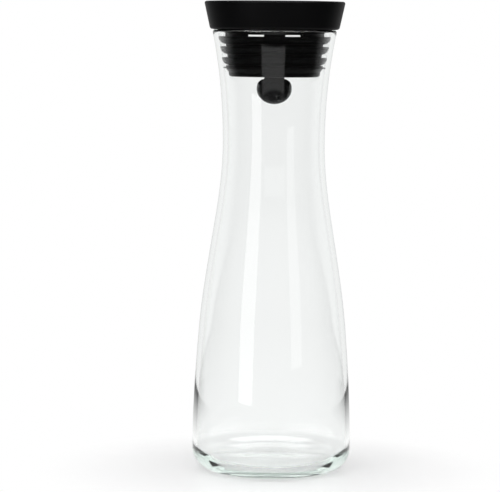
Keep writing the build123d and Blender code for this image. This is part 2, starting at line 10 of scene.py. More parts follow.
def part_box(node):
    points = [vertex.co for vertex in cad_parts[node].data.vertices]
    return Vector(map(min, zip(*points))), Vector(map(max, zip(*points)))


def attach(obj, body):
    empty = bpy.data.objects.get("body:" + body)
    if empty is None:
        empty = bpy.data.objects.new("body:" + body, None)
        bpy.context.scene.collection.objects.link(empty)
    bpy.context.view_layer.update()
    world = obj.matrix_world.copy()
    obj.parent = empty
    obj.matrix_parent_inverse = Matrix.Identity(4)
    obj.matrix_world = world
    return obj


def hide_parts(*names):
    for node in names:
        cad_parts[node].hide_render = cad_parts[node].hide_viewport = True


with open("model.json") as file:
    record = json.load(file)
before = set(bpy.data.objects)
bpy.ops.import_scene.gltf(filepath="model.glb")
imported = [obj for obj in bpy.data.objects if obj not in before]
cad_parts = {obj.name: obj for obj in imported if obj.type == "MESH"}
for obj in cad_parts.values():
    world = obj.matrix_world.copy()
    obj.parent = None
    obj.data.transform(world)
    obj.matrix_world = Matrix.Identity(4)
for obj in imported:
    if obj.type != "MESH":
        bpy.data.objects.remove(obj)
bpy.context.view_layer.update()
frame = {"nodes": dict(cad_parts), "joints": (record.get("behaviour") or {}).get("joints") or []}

bl_info = {
    "name": "Carafe With Tilting Flap",
    "version": (1, 0, 0),
    "blender": (4, 5, 0),
    "location": "3D View > Sidebar > Carafe",
    "description": "Builds the glass, the collar, the stopper, the flap and the studio of the carafe",
    "category": "Object",
}

MM = 0.001

# Glass
GLASS_WALL = 2.6 * MM
BASE_CORNER_R = 13.5 * MM
FOOT_RING_W = 5.0 * MM
UNDER_DOME = 1.2 * MM
FLOOR_DOME = 1.5 * MM
INNER_CORNER_R = 11.0 * MM
WALL_STEPS = 110

# The wall of the glass: height, outer radius and change of radius over height at five stations
GLASS_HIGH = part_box("glass_body")[1]
WALL_STATIONS = (
    (BASE_CORNER_R, GLASS_HIGH.x, 0.0),
    (0.0860, 0.04560, -0.078),
    (0.1400, 0.03845, -0.161),
    (0.2020, 0.03140, 0.0),
    (GLASS_HIGH.z, 0.03840, 0.21),
)

# Collar and the ball-shaped mouth that the flap tilts in
COLLAR_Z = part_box("collar_shell")[0].z
COLLAR_TOP_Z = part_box("collar_shell")[1].z
COLLAR_LOW_R = 39.7 * MM
COLLAR_HIGH_R = 43.5 * MM
COLLAR_WALL = 2.0 * MM
COLLAR_TOP_T = 2.2 * MM
COLLAR_TOP_EDGE_R = 1.2 * MM
COLLAR_LOWER_EDGE_R = 1.8 * MM
PIVOT_Z = frame["joints"][1]["pos_m"][2]
MOUTH_BALL_R = 34.3 * MM

# Finned sleeve of the stopper
SLEEVE_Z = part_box("stopper_sleeve")[0].z
SLEEVE_TOP_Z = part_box("stopper_sleeve")[1].z
SLEEVE_LOW_GAP = 3.75 * MM
SLEEVE_TOP_GAP = 4.45 * MM
SLEEVE_T = 1.1 * MM
LIP_T = 0.5 * MM
CUFF_H = 1.4 * MM
CUFF_STEP = 1.8 * MM
FIN_TIPS_Z = (0.2556, 0.2623, 0.2684)
FIN_GLASS_GAP = 0.35 * MM
FIN_TIP_T = 0.7 * MM
FIN_ROOT_H = 4.6 * MM
FIN_RISE = 0.25 * MM
FIN_BELLY_OUT = 0.72
FIN_BELLY_UP = 0.42
FIN_EDGE_LIMIT = 0.3 * MM
LIP_EDGE_SHARE = 0.6

# Ring at the end of the stopper
RING_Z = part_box("core_retainer")[0].z
RING_FLOOR_T = 1.4 * MM
RING_EDGE_R = 1.8 * MM
RING_WAIST_H = 2.7 * MM
CORE_WALL = 1.5 * MM

# Flap
FLAP_BALL_R = 33.95 * MM
FLAP_TOP_Z = 0.289
FLAP_DISC_Z = 0.287
FLAP_SEAL_W = 3.8 * MM
FLAP_SEAL_PROUD = 0.1 * MM
CROWN_STEPS = 48

# Screws: piece, node, body, length of the shank and turn about X
SCREW_SETS = (
    ("lid_screw_set", "lid_screws", "lid", 5.5 * MM, math.pi),
    ("flap_screw_set", "flap_screws", "flap", 3.0 * MM, math.pi),
    ("arm_screw_set", "arm_screws", "flap", 5.0 * MM, 0.0),
    ("weight_screw_set", "weight_screw", "flap", 13.0 * MM, -math.pi / 2),
)
SCREW_SHANK_R = 0.85 * MM
SCREW_NECK_H = 0.3 * MM
SCREW_PITCH = 0.6 * MM
SCREW_THREAD_ROOT = 0.8
SCREW_POINT = 0.6
SCREW_HEAD_R = 1.9 * MM
SCREW_HEAD_H = 1.2 * MM
SCREW_HEAD_EDGE_R = 0.4 * MM
DRIVE_R = 0.8 * MM
DRIVE_DEPTH = 0.7 * MM

# Floor, and the rings over which its shade, its painted darker sectors and its painted dark reflection in
# gloss change
FLOOR_R = 0.45
FLOOR_Z = -0.05 * MM
FLOOR_SIDES = 96
SHADE_RING = (0.045, 0.15)
SHADE_LEAST_GLOW = 0.28
PAINTED_SECTOR_RING = (0.12, 0.43)
PAINTED_MIRROR_RING = (0.14, 0.44)
PAINTED_MIRROR_FAR_GLOW = 0.06

# Darker sectors round the axis, set in the surroundings and painted into the floor's glow: how many, the
# part of their wave over which they lighten, and how bright they are where they are darkest
SECTORS = 8.0
SECTOR_WAVE = (-0.95, -0.35)
SECTOR_GLOW = 0.8

# Surroundings: where along a direction's X, Y or Z they change, and how bright they are
BEHIND_Y = (0.30, 0.95)
BEHIND_GLOW = 0.6
FRONT_GLOW = 0.025
INSIDE_Y = (0.05, 0.55)
INSIDE_FRONT_GLOW = 0.015

# Bright strip of the surroundings: its lower and upper edge, how far round it reaches, and its glow
STRIP_LOW_Z = (0.36, 0.46)
STRIP_HIGH_Z = (0.80, 0.90)
STRIP_Y = (-0.35, -0.15)
STRIP_GLOW = 7.0

# Grey sheet of the surroundings: its lower and upper edge, its left and right side and its slope as
# shares of the way forwards, and its glow
SHEET_LOW_Z = (-0.350, -0.338)
SHEET_HIGH_Z = (-0.10, -0.08)
SHEET_LEFT = (-0.53, -0.51)
SHEET_RIGHT = (0.38, 0.40)
SHEET_FALL = (0.205, 0.22)
SHEET_GLOW = 0.45

# Lamps: name, degrees to the right of the camera, distance, height, height aimed at, width, length
# and brightness
SOFTBOXES = (
    ("left_softbox", -39.0, 1.25, 0.62, 0.16, 0.56, 1.4, 2.6),
    ("right_softbox", 37.0, 1.35, 0.68, 0.16, 0.46, 1.32, 1.3),
    ("top_softbox", 0.0, 0.1, 1.5, 0.0, 1.3, 1.1, 1.2),
    ("front_softbox", 0.0, 0.85, 1.15, 0.25, 0.9, 0.7, 2.0),
)

# Camera
CAMERA_PLACE = Vector((-0.0141, -1.551, 0.2693))
CAMERA_AIM = Vector((-0.0141, 0.0, 0.1391))
CAMERA_NEAR = 0.05
CAMERA_FAR = 60.0

# Light crosses and bounces inside the thick base many times before it leaves the glass
LIGHT_BOUNCES = 32
GLOSSY_BOUNCES = 24

# Faces round a turned piece and round a screw
ROUND_SEGMENTS = 192
SCREW_SEGMENTS = 48

# Share of the drive's radius inside which a point belongs to its bore
BORE_REACH = 1.01

# Nodes in a tree's row, and the room that each takes
ROW_NODES = 7
NODE_W = 220
NODE_H = 300


# Outlines, given as lists of radius and height in metres


def wall_radius(z):
    """Outer radius of the glass at a height."""
    pairs = list(zip(WALL_STATIONS, WALL_STATIONS[1:]))
    (z0, r0, s0), (z1, r1, s1) = next((p for p in pairs if z <= p[1][0]), pairs[-1])
    t = (z - z0) / (z1 - z0)
    ends = r0 * (1 + 2 * t) * (1 - t) ** 2 + r1 * t**2 * (3 - 2 * t)
    return ends + (z1 - z0) * (s0 * t * (1 - t) ** 2 - s1 * t**2 * (1 - t))


def spaced(low, high, steps):
    """Evenly spaced numbers from low to high."""
    return [low + (high - low) * i / steps for i in range(steps + 1)]


def arc_through(a, b, c, steps=10):
    """Points of the arc from a through b to c."""
    (ax, ay), (bx, by), (cx, cy) = a, b, c
    divisor = 2 * (ax * (by - cy) + bx * (cy - ay) + cx * (ay - by))
    ox = ((ax**2 + ay**2) * (by - cy) + (bx**2 + by**2) * (cy - ay) + (cx**2 + cy**2) * (ay - by)) / divisor
    oy = ((ax**2 + ay**2) * (cx - bx) + (bx**2 + by**2) * (ax - cx) + (cx**2 + cy**2) * (bx - ax)) / divisor
    radius = math.hypot(ax - ox, ay - oy)
    first, middle, last = (math.atan2(y - oy, x - ox) for x, y in (a, b, c))
    sweep = (last - first) % math.tau
    if (middle - first) % math.tau > sweep:
        sweep -= math.tau
    angles = spaced(first, first + sweep, steps)
    return [(ox + radius * math.cos(t), oy + radius * math.sin(t)) for t in angles]


def level_arch(edge_r, centre_z, edge_z, steps=24):
    """Gentle rise or dip from the axis out to a radius that is level at both ends."""
    points = []
    for t in spaced(0.0, 1.0, steps):
        radius = edge_r * (1.5 * t * (1 - t) + t**3)
        rise = 3 * t**2 * (1 - t) + t**3
        points.append((radius, centre_z + (edge_z - centre_z) * rise))
    return points


def rounded(corners, steps=5):
    """Outline of a polygon whose corners, each a radius, a height and a rounding, are rounded off."""
    points = []
    for i, (r, z, rounding) in enumerate(corners):
        here = Vector((r, z))
        if not rounding:
            points.append((r, z))
            continue
        back = (Vector(corners[i - 1][:2]) - here).normalized()
        on = (Vector(corners[(i + 1) % len(corners)][:2]) - here).normalized()
        half = back.angle(on) / 2
        centre = here + (back + on).normalized() * (rounding / math.sin(half))
        reach = rounding / math.tan(half)
        start = here + back * reach - centre
        end = here + on * reach - centre
        for t in spaced(0.0, 1.0, steps):
            points.append(tuple(centre + start.lerp(end, t).normalized() * rounding))
    return points


def ball_radius(ball_r, z):
    """Radius at a height of a ball that is centred on the hinge pin."""
    return math.sqrt(ball_r**2 - (z - PIVOT_Z) ** 2)


def ball_arc(ball_r, z0, z1):
    """Points of a ball that is centred on the hinge pin, between two heights."""
    return [(ball_radius(ball_r, z), z) for z in spaced(z0, z1, steps=6)]


def plain(points):
    """Points of an outline as corners without a rounding."""
    return [(r, z, 0.0) for r, z in points]


# Node trees


def put(tree, kind, inputs=None, **settings):
    """Add a node, set what it is set to, and fill its inputs with values or links."""
    node = tree.nodes.new(kind)
    for key, value in settings.items():
        setattr(node, key, value)
    for key, value in (inputs or {}).items():
        if isinstance(value, bpy.types.NodeSocket):
            tree.links.new(value, node.inputs[key])
        else:
            node.inputs[key].default_value = value
    return node


def calc(tree, operation, a, b=0.0):
    """Result of one operation on two values or links."""
    return put(tree, "ShaderNodeMath", {0: a, 1: b}, operation=operation).outputs[0]


def ramp(tree, value, low, high, start, end, blend="LINEAR"):
    """A value brought from low and high to start and end, and held at the ends."""
    return put(tree, "ShaderNodeMapRange", {
        "Value": value, "From Min": low, "From Max": high, "To Min": start, "To Max": end,
    }, interpolation_type=blend).outputs[0]


def blend_values(tree, share, first, second):
    """The first value turned into the second by a share."""
    return put(tree, "ShaderNodeMix", {0: share, 2: first, 3: second}, data_type="FLOAT").outputs[0]


def link_output(tree, label, socket):
    """Link a socket to an input of a finish's output node."""
    output = next(n for n in tree.nodes if n.type == "OUTPUT_MATERIAL")
    tree.links.new(socket, output.inputs[label])


def lay_out(tree):
    """Spread a tree's nodes over the editor in the order they were made."""
    for i, node in enumerate(tree.nodes):
        node.location = (NODE_W * (i % ROW_NODES), -NODE_H * (i // ROW_NODES))


def tree_with(name, sockets):
    """New Geometry Nodes tree with named inputs, each with its kind and its default."""
    tree = bpy.data.node_groups.new(name, "GeometryNodeTree")
    tree.interface.new_socket("Geometry", in_out="OUTPUT", socket_type="NodeSocketGeometry")
    for label, kind, value in sockets:
        socket = tree.interface.new_socket(label, in_out="INPUT", socket_type="NodeSocket" + kind)
        if value is not None:
            socket.default_value = value
    return tree


def turned_tree():
    """Tree that turns an outline about the vertical axis, with a flat-sided bore inside a given radius."""
    tree = tree_with("turned_outline", (
        ("Outline", "Object", None),
        ("Segments", "Int", ROUND_SEGMENTS),
        ("Sweep", "Float", math.tau),
        ("Drive Radius", "Float", 0.0),
        ("Drive Sides", "Int", 6),
        ("Weld Distance", "Float", 1e-6),
        ("Finish", "Material", None),
    ))
    given = put(tree, "NodeGroupInput").outputs
    info = put(tree, "GeometryNodeObjectInfo", {"Object": given["Outline"]}).outputs["Geometry"]
    size = put(tree, "GeometryNodeAttributeDomainSize", {"Geometry": info}, component="MESH")
    around = calc(tree, "ADD", given["Segments"], 1.0)
    grid = put(tree, "GeometryNodeMeshGrid", {
        "Vertices X": size.outputs["Point Count"],
        "Vertices Y": around,
    })
    index = put(tree, "GeometryNodeInputIndex").outputs[0]
    place = put(tree, "GeometryNodeInputPosition").outputs[0]
    sample = put(tree, "GeometryNodeSampleIndex", {
        "Geometry": info,
        "Index": calc(tree, "FLOOR", calc(tree, "DIVIDE", index, around)),
    }, data_type="FLOAT_VECTOR", domain="POINT")
    tree.links.new(place, next(s for s in sample.inputs if s.name == "Value" and s.enabled))
    found = put(tree, "ShaderNodeSeparateXYZ", {0: next(s for s in sample.outputs if s.enabled)}).outputs
    share = calc(tree, "DIVIDE", calc(tree, "MODULO", index, around), given["Segments"])
    angle = calc(tree, "MULTIPLY", share, given["Sweep"])
    side = calc(tree, "DIVIDE", math.tau, given["Drive Sides"])
    half_side = calc(tree, "MULTIPLY", side, 0.5)
    within = calc(tree, "SUBTRACT", calc(tree, "MODULO", angle, side), half_side)
    flat = calc(tree, "DIVIDE", calc(tree, "COSINE", half_side), calc(tree, "COSINE", within))
    bore = calc(tree, "MULTIPLY", given["Drive Radius"], BORE_REACH)
    near = calc(tree, "LESS_THAN", found["X"], bore)
    shrink = calc(tree, "ADD", 1.0, calc(tree, "MULTIPLY", near, calc(tree, "SUBTRACT", flat, 1.0)))
    radius = calc(tree, "MULTIPLY", found["X"], shrink)
    moved = put(tree, "ShaderNodeCombineXYZ", {
        "X": calc(tree, "MULTIPLY", radius, calc(tree, "COSINE", angle)),
        "Y": calc(tree, "MULTIPLY", radius, calc(tree, "SINE", angle)),
        "Z": found["Z"],
    }).outputs[0]
    shape = put(tree, "GeometryNodeSetPosition", {"Geometry": grid.outputs["Mesh"], "Position": moved})
    weld = put(tree, "GeometryNodeMergeByDistance", {
        "Geometry": shape.outputs[0],
        "Distance": given["Weld Distance"],
    })
    whole = put(tree, "GeometryNodeRealizeInstances", {"Geometry": weld.outputs[0]})
    coat = put(tree, "GeometryNodeSetMaterial", {"Geometry": whole.outputs[0], "Material": given["Finish"]})
    put(tree, "NodeGroupOutput", {"Geometry": coat.outputs[0]})
    lay_out(tree)
    return tree


def placed_tree(turned):
    """Tree that sets a turned piece at each vertex of another mesh, all facing the same way."""
    tree = tree_with("turned_piece_at_places", (
        ("Outline", "Object", None),
        ("Places", "Object", None),
        ("Facing", "Rotation", None),
        ("Segments", "Int", SCREW_SEGMENTS),
        ("Drive Radius", "Float", 0.0),
        ("Finish", "Material", None),
    ))
    given = put(tree, "NodeGroupInput").outputs
    piece = put(tree, "GeometryNodeGroup", node_tree=turned)
    for label in ("Outline", "Segments", "Drive Radius", "Finish"):
        tree.links.new(given[label], piece.inputs[label])
    spots = put(tree, "GeometryNodeObjectInfo", {"Object": given["Places"]}).outputs["Geometry"]
    points = put(tree, "GeometryNodeMeshToPoints", {"Mesh": spots})
    placed = put(tree, "GeometryNodeInstanceOnPoints", {
        "Points": points.outputs[0],
        "Instance": piece.outputs[0],
        "Rotation": given["Facing"],
    })
    whole = put(tree, "GeometryNodeRealizeInstances", {"Geometry": placed.outputs[0]})
    coat = put(tree, "GeometryNodeSetMaterial", {"Geometry": whole.outputs[0], "Material": given["Finish"]})
    put(tree, "NodeGroupOutput", {"Geometry": coat.outputs[0]})
    lay_out(tree)
    return tree


def tree_named(name, make, *needs):
    """The tree of that name, made the first time that it is asked for."""
    return bpy.data.node_groups.get(name) or make(*needs)


def guide(name, points, joined=True):
    """Helper mesh of points, in a line if joined, that a tree reads and that is removed afterwards."""
    mesh = bpy.data.meshes.new(name)
    edges = [(i, i + 1) for i in range(len(points) - 1)] if joined else []
    mesh.from_pydata(points, edges, [])
    thing = bpy.data.objects.new(name, mesh)
    bpy.context.scene.collection.objects.link(thing)
    return thing


def mesh_from(name, tree, values):
    """Plain mesh object from a tree, with its inputs set by name."""
    piece = bpy.data.objects.new(name, bpy.data.meshes.new(name))
    bpy.context.scene.collection.objects.link(piece)
    maker = piece.modifiers.new("maker", "NODES")
    maker.node_group = tree
    for item in tree.interface.items_tree:
        if item.in_out == "INPUT" and item.name in values:
            maker[item.identifier] = values[item.name]
    depsgraph = bpy.context.evaluated_depsgraph_get()
    mesh = bpy.data.meshes.new_from_object(piece.evaluated_get(depsgraph), depsgraph=depsgraph)
    piece.modifiers.remove(maker)
    if not mesh.polygons:
        raise RuntimeError(f"{name} came out empty")
    piece.data = mesh
    mesh.name = name
    return piece


def smooth(piece, sharp_degrees=32.0):
    """Turn the faces outwards and shade them smooth, with sharp edges where they turn by more."""
    form = bmesh.new()
    form.from_mesh(piece.data)
    bmesh.ops.remove_doubles(form, verts=form.verts, dist=1e-7)
    bmesh.ops.recalc_face_normals(form, faces=form.faces)
    form.to_mesh(piece.data)
    form.free()
    piece.data.polygons.foreach_set("use_smooth", [True] * len(piece.data.polygons))
    piece.data.set_sharp_from_angle(angle=math.radians(sharp_degrees))
    return piece


def turn(name, outline, finish, segments=ROUND_SEGMENTS):
    """Turned piece of an outline that starts and ends on the axis, or of one that closes on itself."""
    on_axis = outline[0][0] == 0.0 and outline[-1][0] == 0.0
    line = outline if on_axis else outline + outline[:1]
    helper = guide(name + "_outline", [(r, 0.0, z) for r, z in line])
    tree = tree_named("turned_outline", turned_tree)
    piece = mesh_from(name, tree, {"Outline": helper, "Segments": segments, "Finish": finish})
    bpy.data.objects.remove(helper)
    return smooth(piece)


def settle(piece, body, slot, *nodes):
    """Let a finished piece ride on its body and stand for its nodes, which it hides; its slot is not used.
    """
    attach(piece, body)
    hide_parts(*nodes)


# Finishes


def finish_named(name, **sockets):
    """New material with a Principled shader whose even values are set on its own sockets."""
    finish = bpy.data.materials.new(name)
    finish.use_nodes = True
    tree = finish.node_tree
    tree.nodes.clear()
    shader = put(tree, "ShaderNodeBsdfPrincipled")
    for label, value in sockets.items():
        shader.inputs[label.replace("_", " ")].default_value = value
    put(tree, "ShaderNodeOutputMaterial", {"Surface": shader.outputs[0]})
    return finish, tree, shader


def pattern(tree, scale, stretch=(1.0, 1.0, 1.0), detail=3.0, roughness=0.55):
    """Noise that lies on the object's own coordinates."""
    own = put(tree, "ShaderNodeTexCoord").outputs["Object"]
    laid = put(tree, "ShaderNodeMapping", {"Vector": own, "Scale": stretch}).outputs[0]
    noise = put(tree, "ShaderNodeTexNoise", {
        "Vector": laid, "Scale": scale, "Detail": detail, "Roughness": roughness,
    })
    return noise.outputs[0]


def between(tree, value, low, high):
    """A pattern's value brought to a range."""
    return ramp(tree, value, 0.0, 1.0, low, high)


def shaded(tree, value, dark, light):
    """A pattern's value as a colour between two."""
    mix = put(tree, "ShaderNodeMix", {0: value}, data_type="RGBA")
    mix.inputs[6].default_value = (*dark, 1.0)
    mix.inputs[7].default_value = (*light, 1.0)
    return mix.outputs[2]


def relief(tree, shader, height, distance):
    """Bump of a pattern on a shader."""
    bump = put(tree, "ShaderNodeBump", {"Height": height, "Distance": distance, "Strength": 1.0})
    tree.links.new(bump.outputs[0], shader.inputs["Normal"])


def clear_glass():
    """Clear blown glass with a faint green in its depth and a slow ripple in its surface."""
    looks = bpy.context.scene.carafe_glass
    finish, tree, shader = finish_named(
        "clear_blown_glass", Base_Color=(0.995, 1.0, 0.998, 1.0), Transmission_Weight=1.0, IOR=1.47,
    )
    smear = pattern(tree, 38.0, stretch=(1.0, 1.0, 0.35), detail=4.0)
    tree.links.new(between(tree, smear, 0.0, 0.012), shader.inputs["Roughness"])
    ripple = pattern(tree, 24.0, stretch=(1.0, 1.0, 0.14), detail=1.0, roughness=0.4)
    relief(tree, shader, ripple, looks.ripple)
    depth = put(tree, "ShaderNodeVolumeAbsorption", {
        "Color": (*looks.depth_colour, 1.0), "Density": looks.depth_density,
    })
    link_output(tree, "Volume", depth.outputs[0])
    lay_out(tree)
    return finish


def black_finish(name, tone, rough, shine, grain_scale, grain_depth, slow_scale=60.0):
    """Black moulded finish whose tone and roughness drift, with a fine grain."""
    finish, tree, shader = finish_named(name, Specular_IOR_Level=shine)
    slow = pattern(tree, slow_scale, detail=4.0)
    grain = pattern(tree, grain_scale, detail=2.0, roughness=0.5)
    dark = tuple(0.8 * c for c in tone)
    light = tuple(1.25 * c for c in tone)
    tree.links.new(shaded(tree, slow, dark, light), shader.inputs["Base Color"])
    mixed = calc(tree, "ADD", slow, calc(tree, "MULTIPLY", grain, 0.5))
    tree.links.new(between(tree, mixed, *rough), shader.inputs["Roughness"])
    relief(tree, shader, grain, grain_depth)
    lay_out(tree)
    return finish


def soft_black():
    """Soft matt coat of the collar and the flap."""
    return black_finish(
        "soft_matt_black", tuple(bpy.context.scene.carafe_lid.collar_colour),
        rough=(0.34, 0.44), shine=0.07, grain_scale=5200.0, grain_depth=0.012 * MM,
    )


def moulded_black():
    """Satin moulded plastic of the carrier, the core, the end ring and the flap's base."""
    return black_finish(
        "satin_moulded_black", (0.002, 0.002, 0.0022),
        rough=(0.26, 0.36), shine=0.07, grain_scale=3200.0, grain_depth=0.008 * MM,
    )


def gloss_black():
    """Smooth gloss plastic of the arm and the weight."""
    return black_finish(
        "gloss_black", (0.004, 0.004, 0.0044),
        rough=(0.07, 0.14), shine=0.14, grain_scale=900.0, grain_depth=0.004 * MM,
    )


def silicone():
    """Soft black silicone of the sleeve and the seals."""
    return black_finish(
        "black_silicone", tuple(bpy.context.scene.carafe_lid.sleeve_colour),
        rough=(0.34, 0.46), shine=0.045, grain_scale=2400.0, grain_depth=0.006 * MM, slow_scale=90.0,
    )


def bearing_plastic():
    """Natural bearing plastic of the bushes."""
    finish, tree, shader = finish_named("natural_bearing_plastic", Subsurface_Weight=0.05)
    cloud = pattern(tree, 240.0)
    turning = pattern(tree, 900.0, stretch=(0.1, 1.0, 1.0), detail=2.0)
    tree.links.new(shaded(tree, cloud, (0.66, 0.64, 0.58), (0.76, 0.75, 0.7)), shader.inputs["Base Color"])
    tree.links.new(between(tree, cloud, 0.34, 0.5), shader.inputs["Roughness"])
    relief(tree, shader, turning, 0.01 * MM)
    lay_out(tree)
    return finish


def stainless(name, stretch):
    """Stainless steel with fine marks that run across the stretched direction."""
    finish, tree, shader = finish_named(name, Metallic=1.0)
    marks = pattern(tree, 1400.0, stretch=stretch, detail=4.0, roughness=0.6)
    tree.links.new(shaded(tree, marks, (0.48, 0.48, 0.47), (0.66, 0.66, 0.65)), shader.inputs["Base Color"])
    tree.links.new(between(tree, marks, 0.22, 0.4), shader.inputs["Roughness"])
    relief(tree, shader, marks, 0.006 * MM)
    lay_out(tree)
    return finish


FINISHES = {
    "clear_glass": clear_glass,
    "soft_black": soft_black,
    "moulded_black": moulded_black,
    "gloss_black": gloss_black,
    "silicone": silicone,
    "bush_plastic": bearing_plastic,
    "pin_steel": lambda: stainless("turned_stainless", (1.0, 0.06, 0.06)),
    "screw_steel": lambda: stainless("screw_stainless", (0.3, 0.3, 1.0)),
}
made_finishes = {}


def finish_for(name):
    """The finish of that name, made the first time that it is asked for."""
    if name not in made_finishes:
        made_finishes[name] = FINISHES[name]()
    return made_finishes[name]


# Settings


class CarafeGlassSettings(bpy.types.PropertyGroup):
    """Sizes and looks of the glass."""

    wall: FloatProperty(
        name="Wall", description="Level thickness of the glass wall",
        default=GLASS_WALL, min=MM, unit="LENGTH",
    )
    floor: FloatProperty(
        name="Floor", description="Height of the inner floor at its edge",
        default=5.5 * MM, unit="LENGTH",
    )
    segments: IntProperty(
        name="Segments", description="Faces round the glass",
        default=224, min=48, max=400,
    )
    ripple: FloatProperty(
        name="Ripple", description="Depth of the slow ripple in the surface",
        default=0.02 * MM, unit="LENGTH",
    )
    depth_colour: FloatVectorProperty(
        name="Depth colour", description="Colour that thick glass takes on",
        default=(0.70, 0.85, 0.78), subtype="COLOR", min=0.0, max=1.0,
    )
    depth_density: FloatProperty(
        name="Depth density", description="How fast glass takes on its depth colour, per metre",
        default=9.0, min=0.0,
    )


class CarafeLidSettings(bpy.types.PropertyGroup):
    """Sizes and looks of the lid."""

    edge: FloatProperty(
        name="Soft edges", description="Rounding of the small edges",
        default=0.25 * MM, unit="LENGTH",
    )
    collar_colour: FloatVectorProperty(
        name="Collar colour", description="Colour of the collar and the flap",
        default=(0.0018, 0.0018, 0.0020), subtype="COLOR", min=0.0, max=1.0,
    )
    sleeve_colour: FloatVectorProperty(
        name="Sleeve colour", description="Colour of the sleeve and the seals",
        default=(0.0018, 0.0018, 0.0020), subtype="COLOR", min=0.0, max=1.0,
    )


class CarafeStageSettings(bpy.types.PropertyGroup):
    """Light, floor and camera."""

    ambient: FloatProperty(
        name="Ambient", description="Light that comes from all round",
        default=0.55, min=0.0,
    )
    lamps: FloatProperty(
        name="Lamps", description="Strength of all lamps together",
        default=1.0, min=0.0,
    )
    floor_colour: FloatVectorProperty(
        name="Floor colour", description="Colour of the floor near the carafe",
        default=(0.95, 0.952, 0.954), subtype="COLOR", min=0.0, max=1.0,
    )
    lens: FloatProperty(
        name="Lens", description="Focal length of the camera in millimetres",
        default=181.0, min=1.0,
    )
    roll: FloatProperty(
        name="Roll", description="Turn of the camera about its view, in degrees",
        default=0.48,
    )


# Pieces


def glass_outline(wall, floor_z):
    """Closed half section of the glass, from under the floor, over the rim, to the inner floor."""
    corner_r = BASE_CORNER_R
    foot_r = wall_radius(corner_r) - corner_r
    lean = math.atan(WALL_STATIONS[-1][2])
    rim_z = WALL_STATIONS[-1][0]
    lip_r = wall * math.cos(lean) / 2
    outer_z = rim_z - lip_r - lip_r * math.sin(lean)
    inner_z = rim_z - lip_r + lip_r * math.sin(lean)
    reach = math.sqrt(0.5)
    line = level_arch(foot_r - FOOT_RING_W, UNDER_DOME, 0.0)
    line += arc_through(
        (foot_r, 0.0),
        (foot_r + corner_r * reach, corner_r * (1 - reach)),
        (foot_r + corner_r, corner_r),
        steps=20,
    )
    line += [(wall_radius(z), z) for z in spaced(corner_r, outer_z, WALL_STEPS)][1:-1]
    line += arc_through(
        (wall_radius(outer_z), outer_z),
        (wall_radius(rim_z - lip_r) - wall / 2, rim_z),
        (wall_radius(inner_z) - wall, inner_z),
        steps=14,
    )
    well_r = INNER_CORNER_R
    well_z = floor_z + well_r
    well_foot = wall_radius(well_z) - wall - well_r
    line += [(wall_radius(z) - wall, z) for z in spaced(inner_z, well_z, WALL_STEPS)][1:-1]
    line += arc_through(
        (well_foot + well_r, well_z),
        (well_foot + well_r * reach, well_z - well_r * reach),
        (well_foot, floor_z),
        steps=18,
    )
    return line + level_arch(well_foot, floor_z + FLOOR_DOME, floor_z)[::-1][1:]


class CARAFE_OT_glass(bpy.types.Operator):
    """Turn the glass body from its half section"""

    bl_idname = "carafe.glass"
    bl_label = "Glass body"

    def execute(self, context):
        sizes = context.scene.carafe_glass
        outline = glass_outline(sizes.wall, sizes.floor)
        glass = turn("blown_glass", outline, finish_for("clear_glass"), sizes.segments)
        settle(glass, "carafe", "clear_glass", "glass_body")
        return {"FINISHED"}


class CARAFE_OT_collar(bpy.types.Operator):
    """Turn the conical cover of the collar"""

    bl_idname = "carafe.collar"
    bl_label = "Collar"

    def execute(self, context):
        edge = context.scene.carafe_lid.edge
        height = COLLAR_TOP_Z - COLLAR_Z
        flare = COLLAR_HIGH_R - COLLAR_LOW_R
        wall = COLLAR_WALL * math.hypot(1.0, flare / height)
        plate_z = COLLAR_TOP_Z - COLLAR_TOP_T
        inner_r = COLLAR_LOW_R + flare * (plate_z - COLLAR_Z) / height - wall
        mouth = ball_arc(MOUTH_BALL_R, plate_z, COLLAR_TOP_Z)
        corners = [
            (COLLAR_HIGH_R, COLLAR_TOP_Z, COLLAR_TOP_EDGE_R),
            (COLLAR_LOW_R, COLLAR_Z, COLLAR_LOWER_EDGE_R),
            (COLLAR_LOW_R - wall, COLLAR_Z, 0.0),
            (inner_r, plate_z, 0.0),
            *plain(mouth[:-1]),
            (*mouth[-1], edge),
        ]
        collar = turn("collar_cover", rounded(corners, steps=8), finish_for("soft_black"))
        settle(collar, "lid", "soft_black", "collar_shell")
        return {"FINISHED"}


def inside_glass(z, gap):
    """Radius at a height that leaves a gap to the inner wall of the glass."""
    return wall_radius(z) - GLASS_WALL - gap


def sleeve_radius(z):
    """Outer radius of the sleeve between its fins."""
    low_r = inside_glass(SLEEVE_Z, SLEEVE_LOW_GAP)
    top_r = inside_glass(SLEEVE_TOP_Z, SLEEVE_TOP_GAP)
    return low_r + (top_r - low_r) * (z - SLEEVE_Z) / (SLEEVE_TOP_Z - SLEEVE_Z)


def fin_corners(tip_z, edge):
    """Corners of one fin, from its root up to its tip and back to the sleeve above."""
    tip_r = inside_glass(tip_z, FIN_GLASS_GAP)
    root_z = tip_z - FIN_ROOT_H
    under_z = tip_z - FIN_TIP_T
    root_r = sleeve_radius(root_z)
    belly = (root_r + FIN_BELLY_OUT * (tip_r - root_r), root_z + FIN_BELLY_UP * (under_z - root_z))
    sweep = arc_through((root_r, root_z), belly, (tip_r, under_z), steps=12)
    top_z = tip_z - FIN_RISE
    return [
        *plain(sweep[:-1]),
        (tip_r, under_z, edge),
        (tip_r, tip_z, edge),
        (sleeve_radius(top_z), top_z, 0.0),
    ]


